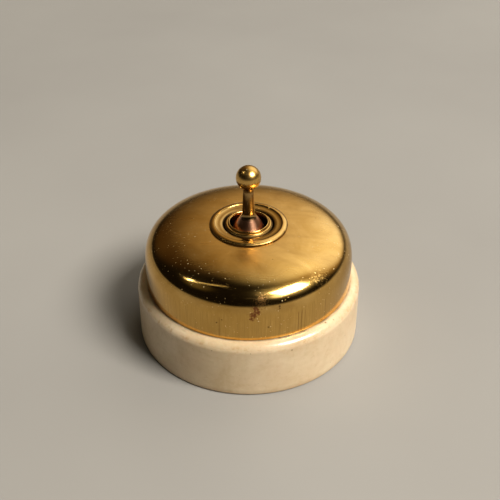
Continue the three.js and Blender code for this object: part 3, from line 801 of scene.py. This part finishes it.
def toggle_lever():
    """Bell, tapered stem and ball end, turned in one, with the plunger's barrel below."""
    ball_centre = LEVER_TOP - BALL_RADIUS
    lean = math.radians(BELL_ANGLE)
    shoulder = (BELL_RADIUS - BELL_ROUND * (1 - math.cos(lean)), BELL_ROUND_Z + BELL_ROUND * math.sin(lean))
    flare_x = STEM_LOW + BELL_FLARE * (1 - math.cos(lean))
    flare_top = shoulder[1] + (shoulder[0] - flare_x) / math.tan(lean) + BELL_FLARE * math.sin(lean)
    skirt, barrel, bore = -2.2, 2.2, 1.6
    end = low("toggle_lever").z - LEVER_PIVOT
    neck_turn = math.degrees(math.acos((STEM_HIGH + 0.12) / BALL_RADIUS))
    under_ball = ball_centre - LEVER_PIVOT - BALL_RADIUS * math.sin(math.radians(neck_turn))
    profile = [(0, -1.9), (bore, -1.9)]
    profile += rounded([(bore, -1.95), (bore, end, 0.12), (barrel, end, 0.3), (barrel, skirt, 0.3),
                        (BELL_RADIUS, skirt, 0.35), (BELL_RADIUS, BELL_ROUND_Z)], closed=False)[1:-1]
    profile += arc((BELL_RADIUS - BELL_ROUND, BELL_ROUND_Z), (BELL_ROUND, BELL_ROUND), 0, BELL_ANGLE, 14)
    profile += arc((STEM_LOW + BELL_FLARE, flare_top), (BELL_FLARE, BELL_FLARE), 180 + BELL_ANGLE, 180, 16)
    low_end, high_end = Vector((STEM_LOW, flare_top)), Vector((STEM_HIGH, under_ball - 0.35))
    profile += [tuple(low_end.lerp(high_end, t / 8)) for t in range(1, 9)]
    profile += [(STEM_HIGH + 0.03, under_ball - 0.12)]
    profile += arc((0, ball_centre - LEVER_PIVOT), (BALL_RADIUS, BALL_RADIUS), -neck_turn, 90, 56)[:-1]
    profile += [(0, LEVER_TOP - LEVER_PIVOT)]
    lever = turned("lever", profile, MEDIUM)
    carve(lever, [rod(1.05, (0, 0), "X", -7, 7)])
    return move(shade(lever), (0, 0, LEVER_PIVOT))


def plunger():
    node = "lever_plunger"
    tip, top = low(node).z, high(node).z
    profile = arc((0, tip + 1), (1, 1), -90, 0, 12)
    profile[0] = (0, tip)
    profile += rounded([(1, top - 0.9), (1, top - 0.7, 0.1), (1.4, top - 0.7, 0.08), (1.4, top, 0.08),
                        (0, top)], closed=False)
    return turned("plunger", profile, SMALL)


def spring(coil=1.15, wire=0.2, turns=2.6):
    """The plunger's coil spring, swept along its helix with flattened ends."""
    node = "lever_spring"
    start, stop = low(node).z + wire, high(node).z - wire
    steps, sides = 90, 14
    bm = bmesh.new()
    rings = []
    for i in range(steps + 1):
        t = i / steps
        angle = 2 * math.pi * turns * t
        out = Vector((math.cos(angle), math.sin(angle), 0))
        centre = out * coil + Vector((0, 0, start + (stop - start) * t))
        ring = []
        for k in range(sides):
            phase = 2 * math.pi * k / sides
            ring.append(bm.verts.new((centre + out * wire * math.cos(phase)
                                      + Vector((0, 0, wire * math.sin(phase)))) * MM))
        rings.append(ring)
    for one, two in zip(rings, rings[1:]):
        for k in range(sides):
            n = (k + 1) % sides
            bm.faces.new((one[k], one[n], two[n], two[k]))
    bm.faces.new(rings[0])
    bm.faces.new(rings[-1])
    return shade(piece_from("spring", bm), 50)


def pin(node, radius):
    """A pivot pin along X with rounded ends."""
    half, z = high(node).x, (low(node).z + high(node).z) / 2
    profile = rounded([(0, -half), (radius, -half, 0.28), (radius, half, 0.28), (0, half)], closed=False)
    return move(turned("pin", profile, SMALL), (0, 0, z), (0, math.pi / 2, 0))


def washer(node):
    """A fibre washer lying flat against the rocker, its axis along X."""
    start, stop = low(node).x, high(node).x
    inner, outer = 1.05, high(node).y
    ring = [(inner, start, 0.05), (outer, start, 0.08), (outer, stop, 0.08), (inner, stop, 0.05)]
    disc = turned("washer", rounded(ring, steps=3), SMALL)
    return move(disc, (0, 0, ROCKER_PIVOT), (0, math.pi / 2, 0))


def slotted_screw(head, head_height, shank, length, pitch=0.5):
    """A cheese-head screw with a cut thread: the head stands on z = 0 and the shank hangs below."""
    profile = [(0, -length), (0.62 * shank, -length), (0.9 * shank, -length + 0.35)]
    profile += wall(shank, -length + 0.4, -0.15, 0.06)
    profile += rounded([(shank, -0.1), (shank, 0, 0.05), (head, 0, 0.12), (head, 0.8 * head_height, 0.2),
                        (0.86 * head, head_height, 0.15), (0, head_height)], closed=False, steps=4)[1:]
    screw = turned("screw", profile, SMALL, threaded(shank, -length + 0.3, -0.3, 0.16, pitch))
    half_slot = 0.15 * head
    slot_depth = (0.52 * head_height, head_height + 1)
    slot = block("slot", (-head - 1, head + 1), (-half_slot, half_slot), slot_depth)
    return soften(carve(screw, [slot]), 0.06, 2, 55)


# ---- ceramic base ------------------------------------------------------------------------
def base_blank():
    foot, top_radius = 0.7, BASE_RADIUS - 0.14
    profile = [(0, 0), (20, 0)] + arc((BASE_RADIUS - foot, foot), (foot, foot), -90, 0, 8)
    profile += [(BASE_RADIUS - 0.045, 5.0), (BASE_RADIUS - 0.09, 10.0)]
    profile += arc((top_radius - TOP_ROUND, LEDGE - TOP_ROUND), (TOP_ROUND, TOP_ROUND), 0, 90, 22)
    profile += rounded([(28.6, LEDGE), (SPIGOT_RADIUS, LEDGE, 0.5), (SPIGOT_RADIUS, SPIGOT_TOP, 0.6),
                        (20, SPIGOT_TOP)], closed=False)
    profile += [(0, SPIGOT_TOP)]
    return turned("base", profile, FINE)


def chamber(side):
    """One of the two wiring spaces under the base, with round corners and a round boss left in."""
    start, inset = RIB_HALF, 0.8
    edge = math.degrees(math.acos((start + inset) / CHAMBER_RADIUS))
    rim = arc((0, 0), (CHAMBER_RADIUS, CHAMBER_RADIUS), -edge, edge, 48)
    outline = [(side * x, y) for x, y in [(start, rim[0][1] - 0.6)] + rim + [(start, rim[-1][1] + 0.6)]]
    room = pressed("chamber", outline, "Z", -2, CHAMBER_DEPTH)
    bosses = [rod(BOSS_RADIUS, (0, y), "Z", -3, CHAMBER_DEPTH + 1) for y in (-FIXING_Y, FIXING_Y)]
    return carve(room, bosses)


def countersink(y):
    profile = [(0, -1), (FIXING_RADIUS, -1), (FIXING_RADIUS, SPIGOT_TOP - SINK_DEPTH),
               (SINK_RADIUS, SPIGOT_TOP), (SINK_RADIUS, SPIGOT_TOP + 1), (0, SPIGOT_TOP + 1)]
    return move(turned("sink", profile, SMALL), (0, y, 0))


def ceramic_base():
    above = SPIGOT_TOP + 1
    pockets = block("well", (-14.5, 14.5), (-9, 9), (WELL_FLOOR, above), WELL_CORNER)
    rooms = []
    for side in (-1, 1):
        pocket, passage = limits(side, 6.5, 14.5), limits(side, 13.6, 20.5)
        rooms.append(block("pocket", pocket, (-19, -8), (WELL_FLOOR, above), WELL_CORNER))
        floor_z = CHAMBER_DEPTH - 0.5
        rooms.append(block("passage", passage, (-14.5, -6.5), (floor_z, above), WELL_CORNER))
    carve(pockets, rooms, "UNION")
    tools = [pockets, chamber(-1), chamber(1), countersink(FIXING_Y), countersink(-FIXING_Y)]
    for side in (-1, 1):
        screw_place = (side * TERMINAL_X, TERMINAL_SCREW_Y)
        tools.append(rod(1.4, screw_place, "Z", CHAMBER_DEPTH - 1, WELL_FLOOR + 1))
        tools.append(rod(1.5, (side * BRIDGE_SCREW_X, 0), "Z", 12.5, above))
    return soften(carve(base_blank(), tools), 0.35, 3, 42)


# ---- bridge and electrical parts ---------------------------------------------------------
def strap_outline(thick, bend):
    """The bridge's bent strap from the side: foot, leg, flat top, leg, foot."""
    foot_end, leg, foot_top = high("bridge").x, 21.0, SPIGOT_TOP + thick
    low_plate, high_plate = PLATE
    half = [(foot_end, SPIGOT_TOP, 0.2), (leg - thick, SPIGOT_TOP, bend + thick),
            (leg - thick, low_plate, bend), (0, low_plate)]
    back = [(0, high_plate), (leg, high_plate, bend + thick), (leg, foot_top, bend),
            (foot_end, foot_top, 0.2)]
    return rounded(half[:-1] + mirrored(half[:-1]) + mirrored(back[1:]) + back[1:])


def bridge():
    thick = 1.2
    strap = pressed("bridge", strap_outline(thick, 0.5), "Y", -5.5, 5.5)
    parts = [rod(9.5, (0, 0), "Z", PLATE[0], PLATE[1], MEDIUM)]
    for side in (-1, 1):
        ear = [(-4.0, 28.0), (-3.4, 22.0, 3.0)]
        ear += arc((0, ROCKER_PIVOT), (2.2, 2.2), 180, 360, 20)
        ear += [(3.4, 22.0, 3.0), (4.0, 28.0)]
        parts.append(pressed("ear", rounded(ear, steps=8), "X", *limits(side, 6.6, 7.8)))
    carve(strap, parts, "UNION")
    holes = [rod(6.1, (0, 0), "Z", 26, 30, MEDIUM), rod(1.05, (0, ROCKER_PIVOT), "X", -10, 10)]
    holes += [rod(1.5, (side * BRIDGE_SCREW_X, 0), "Z", 18, 21) for side in (-1, 1)]
    return soften(carve(strap, holes), 0.14, 2, 42)


def strip_outline(line, thick):
    """A strip of even thickness about a smooth line through the given points."""
    points = [Vector(p) for p in rounded(line, closed=False, steps=6)]
    sides = ([], [])
    for i, here in enumerate(points):
        along = (points[min(i + 1, len(points) - 1)] - points[max(i - 1, 0)]).normalized()
        across = Vector((-along.y, along.x)) * thick / 2
        sides[0].append(tuple(here - across))
        sides[1].append(tuple(here + across))
    return sides[0] + sides[1][::-1]


def contact_spring(side):
    """A foot under the terminal and a leaning blade that the contact bar wipes when it closes."""
    thick, gap = 0.5, 0.6
    lean = math.radians(19)
    face = -(3.4 + gap)

    def closed(z):
        return (face * math.cos(lean) + z * math.sin(lean),
                ROCKER_PIVOT + z * math.cos(lean) - face * math.sin(lean))

    low_point, high_point = closed(-6.5), closed(-3.5)
    foot = WELL_FLOOR + thick / 2 + 0.05
    line = [(-17.8, foot), (-9.0, foot, 1.4), (*low_point, 0.8), (*high_point, 0.8),
            (high_point[0] - 0.25, high_point[1] + 0.7, 0.5), (high_point[0] - 1, high_point[1] + 1.5)]
    leaf = pressed("leaf", strip_outline(line, thick), "X", *limits(side, 7.9, 12.5))
    carve(leaf, [rod(1.4, (side * TERMINAL_X, TERMINAL_SCREW_Y), "Z", 7, 10)])
    return soften(leaf, 0.1, 2, 50)


def terminal_block(side):
    node = "terminal_block_right" if side > 0 else "terminal_block_left"
    near, far = low(node), high(node)
    body = block("terminal", (near.x, far.x), (near.y, far.y), (near.z, far.z), 0.5)
    x, wire_z = side * TERMINAL_X, 13.2
    tools = [rod(1.6, (CLAMP_Y, wire_z), "X", near.x - 1, far.x + 1),
             rod(1.45, (x, CLAMP_Y), "Z", wire_z, far.z + 1),
             rod(1.25, (x, TERMINAL_SCREW_Y), "Z", near.z - 1, 11.8)]
    return soften(carve(body, tools), 0.22, 3, 42)


def rocker():
    """The moulded rocker seen from its end: a shallow saddle on two horns, a waist and a tail."""
    horn = 6.8 + 2.4 / math.tan(math.radians(60))
    half = [(2.2, -7, 0.5), (2.2, -2.6, 0.8), (3, -1.6, 0.8), (3, 1.6, 0.8), (2.4, 3, 0.8),
            (2.4, horn, 0.35)]
    outline = rounded(half + [(0, 6.8, 0.5)] + mirrored(half))
    body = pressed("rocker", outline, "X", -6, 6)
    bore = rod(0.75, (0, BAR_Z - ROCKER_PIVOT), "Y", -5, 1.5)
    carve(body, [rod(1.2, (0, 0), "X", -8, 8), bore])
    return move(soften(body, 0.3, 3, 42), (0, 0, ROCKER_PIVOT))


def contact_bar():
    node = "contact_bar"
    near, far = low(node), high(node)
    plan = [(near.x, near.z, 0.7), (far.x, near.z, 0.7), (far.x, far.z, 0.7), (near.x, far.z, 0.7)]
    bar = pressed("bar", rounded(plan, steps=6), "Y", near.y, far.y)
    return soften(carve(bar, [rod(0.75, (0, BAR_Z), "Y", near.y - 1, far.y + 1)]), 0.15, 3, 42)


def fitted_screw(node, x, y, sizes, turn, from_below=False):
    """A screw at its CAD node's height, its slot turned by an angle in radians."""
    head_height = sizes[1]
    z = low(node).z + head_height if from_below else high(node).z - head_height
    tilt = math.pi if from_below else 0
    stand_for(move(slotted_screw(*sizes), (x, y, z), (tilt, 0, turn)), node, brass_inner)


# ---- the object --------------------------------------------------------------------------
brass_turned = turned_brass()
brass_inner = worked_metal("brass_inner", (0.60, 0.42, 0.17), (0.40, 0.25, 0.09))
copper_strip = worked_metal("copper_strip", (0.62, 0.30, 0.17), (0.42, 0.18, 0.09), grain=(120, 900, 900))
drawn_steel = worked_metal("drawn_steel", (0.55, 0.54, 0.52), (0.40, 0.39, 0.37), grain=(100, 900, 900))
ebonite = moulded("ebonite", (0.030, 0.022, 0.018), (0.014, 0.010, 0.008), 0.38)
red_fibre = moulded("red_fibre", (0.21, 0.085, 0.045), (0.12, 0.045, 0.025), 0.62)

stand_for(ceramic_base(), "ceramic_base", glazed_ceramic())
stand_for(dome_cover(), "dome_cover", cover_brass())
liner_inset = COVER_RADIUS - high("cover_liner").x
stand_for(shell("liner", liner_inset, 0.5, low("cover_liner").z, 8.6, 48), "cover_liner", red_fibre)
stand_for(locking_ring(), "locking_ring", brass_turned)
stand_for(neck_collar(), "neck_collar", brass_turned)
stand_for(toggle_lever(), "toggle_lever", lever_brass())
stand_for(plunger(), "lever_plunger", drawn_steel)
stand_for(spring(), "lever_spring", drawn_steel)
stand_for(pin("lever_pin", 0.75), "lever_pin", drawn_steel)
stand_for(pin("rocker_pin", 0.9), "rocker_pin", drawn_steel)
stand_for(bridge(), "bridge", brass_inner)
stand_for(rocker(), "rocker", ebonite)
stand_for(contact_bar(), "contact_bar", copper_strip)

bar_screw = slotted_screw(1.35, 0.9, 0.6, 4.6, 0.35)
bar_face = low("contact_bar").y - 0.075
move(bar_screw, (0, bar_face, BAR_Z), (math.pi / 2, 0, 0))
stand_for(bar_screw, "contact_bar_screw", brass_inner)

for label, side in (("left", -1), ("right", 1)):
    stand_for(washer(f"rocker_washer_{label}"), f"rocker_washer_{label}", red_fibre)
    stand_for(contact_spring(side), f"contact_spring_{label}", copper_strip)
    stand_for(terminal_block(side), f"terminal_block_{label}", brass_inner)
    x = side * TERMINAL_X
    fitted_screw(f"clamp_screw_{label}", x, CLAMP_Y, (2.4, 1.7, 1.3, 2.9), 0.5 * side)
    fitted_screw(f"terminal_screw_{label}", x, TERMINAL_SCREW_Y, (2.4, 1.5, 1.1, 6.5), 0.3 * side, True)
    x = side * BRIDGE_SCREW_X
    fitted_screw(f"bridge_screw_{label}", x, 0, (2.3, 1.7, 1.2, 7.0), 0.9 - 0.7 * side)


# ---- floor, light and camera -------------------------------------------------------------
def floor():
    half_width = 4.0
    bm = bmesh.new()
    bmesh.ops.create_grid(bm, x_segments=1, y_segments=1, size=half_width)
    ground = piece_from("floor", bm)
    f = Finish("floor_pale")
    f.wire("Base Color", f.colours(f.noise(9, 3), (0.3, (0.295, 0.285, 0.27)), (0.7, (0.32, 0.31, 0.293))))
    f.wire("Roughness", f.spread(f.noise(60, 3), 0.72, 0.82))
    ground.data.materials.append(f.material)


AIM = Vector((0, 0, 0.025))                 # where the panels point, in metres
KEY_WHITE, WARM_WHITE = (1.0, 0.95, 0.88), (1.0, 0.97, 0.86)


def panel(name, elevation, azimuth, distance, size, radiance, colour=WARM_WHITE, roll=0):
    """A soft light panel that faces the switch, turned about its own middle by roll degrees."""
    outward = towards(elevation, azimuth)
    light = bpy.data.lights.new(name, "AREA")
    light.shape = "RECTANGLE"
    light.size, light.size_y = size
    light.energy = radiance * math.pi * size[0] * size[1]
    light.color = colour
    lamp = bpy.data.objects.new(name, light)
    bpy.context.scene.collection.objects.link(lamp)
    lamp.location = AIM + outward * distance
    lamp.rotation_mode = "QUATERNION"
    facing = (-outward).to_track_quat("-Z", "Y")
    lamp.rotation_quaternion = facing @ Quaternion((0, 0, 1), math.radians(roll))
    lamp.visible_camera = False


LENS = 60.3
EYE = (0, -192.3, 163.6)                    # millimetres
LOOKS_DOWN, LOOKS_RIGHT = 35.73, 0.12       # degrees


def camera():
    view = bpy.data.cameras.new("camera")
    view.sensor_width = 36
    view.lens = LENS
    view.clip_start = 0.01
    eye = bpy.data.objects.new("camera", view)
    bpy.context.scene.collection.objects.link(eye)
    eye.location = Vector(EYE) * MM
    eye.rotation_euler = (math.radians(90 - LOOKS_DOWN), 0, math.radians(-LOOKS_RIGHT))
    bpy.context.scene.camera = eye


def towards(elevation, azimuth):
    """The direction of a light: azimuth 0 is the camera's side and 90 is +X."""
    rise, turn = math.radians(elevation), math.radians(azimuth)
    return Vector((math.cos(rise) * math.sin(turn), -math.cos(rise) * math.cos(turn), math.sin(rise)))


def fading(f, value, start, stop, *colours):
    """Colour that fades smoothly through the given ones as the value goes from start to stop."""
    share = f.spread(value, 0.0, 1.0, start, stop, "SMOOTHERSTEP")
    stops = [(place / (len(colours) - 1), colour) for place, colour in enumerate(colours)]
    return f.colours(share, *stops)


BLACK, WHITE = (0, 0, 0), (1, 1, 1)
DIM_ROOM, PALE_HORIZON = (0.014, 0.012, 0.008), (0.33, 0.31, 0.28)
# Soft glows in the room: elevation, azimuth, inner and outer reach in degrees, middle and edge colour.
BEHIND_RIGHT = (34, 142, 8, 57, (1.38, 1.33, 1.26), (0.46, 0.35, 0.19))
HIGH_RIGHT = (66, 142, 2, 30, (0.48, 0.54, 0.58), (0.15, 0.15, 0.13))
BEHIND_LEFT = (32, -158, 5, 46, (0.085, 0.052, 0.022), (0.050, 0.030, 0.012))
FRONT_RIGHT = (40, 36, 3, 15, (1.6, 1.7, 1.7), (0.10, 0.10, 0.09))
LEFT = (50, -74, 2, 20, (0.12, 0.105, 0.06), (0.05, 0.043, 0.024))
ROUND_THE_KEY = (50, 58, 12, 36, (0.44, 0.44, 0.36), (0.12, 0.12, 0.09))


def world(room, horizon, *glows):
    """A dim warm room, paler along the horizon, with soft glows in it that fade out low down."""
    sky = bpy.data.worlds.new("studio")
    sky.use_nodes = True
    f = Nodes(sky.node_tree)
    direction = f.add("TexCoord").outputs["Generated"]
    height = f.between("DOT_PRODUCT", direction, (0, 0, 1))
    total = BLACK
    for elevation, azimuth, inner, outer, middle, edge in glows:
        angle = f.math("ARCCOSINE", f.between("DOT_PRODUCT", direction, towards(elevation, azimuth)))
        glow = fading(f, angle, math.radians(inner), math.radians(outer), middle, edge, BLACK)
        total = f.mix(1.0, total, glow, "ADD")
    total = f.mix(1.0, total, fading(f, height, 0.0, 0.40, BLACK, WHITE), "MULTIPLY")
    total = f.mix(1.0, total, fading(f, height, 0.02, 0.11, horizon, room), "ADD")
    f.links.new(total, f.nodes["Background"].inputs["Color"])
    bpy.context.scene.world = sky


floor()
panel("key", elevation=50, azimuth=58, distance=2.5, size=(1.1, 0.96), radiance=25.0, colour=KEY_WHITE)
panel("left_core", elevation=51, azimuth=-90, distance=1.0, size=(0.024, 0.10), radiance=24.0)
panel("left_strip", elevation=61, azimuth=-83, distance=1.0, size=(0.018, 0.56), radiance=2.4, roll=-12)
world(DIM_ROOM, PALE_HORIZON, BEHIND_RIGHT, HIGH_RIGHT, BEHIND_LEFT, FRONT_RIGHT, LEFT, ROUND_THE_KEY)
camera()
bpy.context.scene.view_settings.view_transform = "Standard"
bpy.context.scene.view_settings.look = "Medium High Contrast"
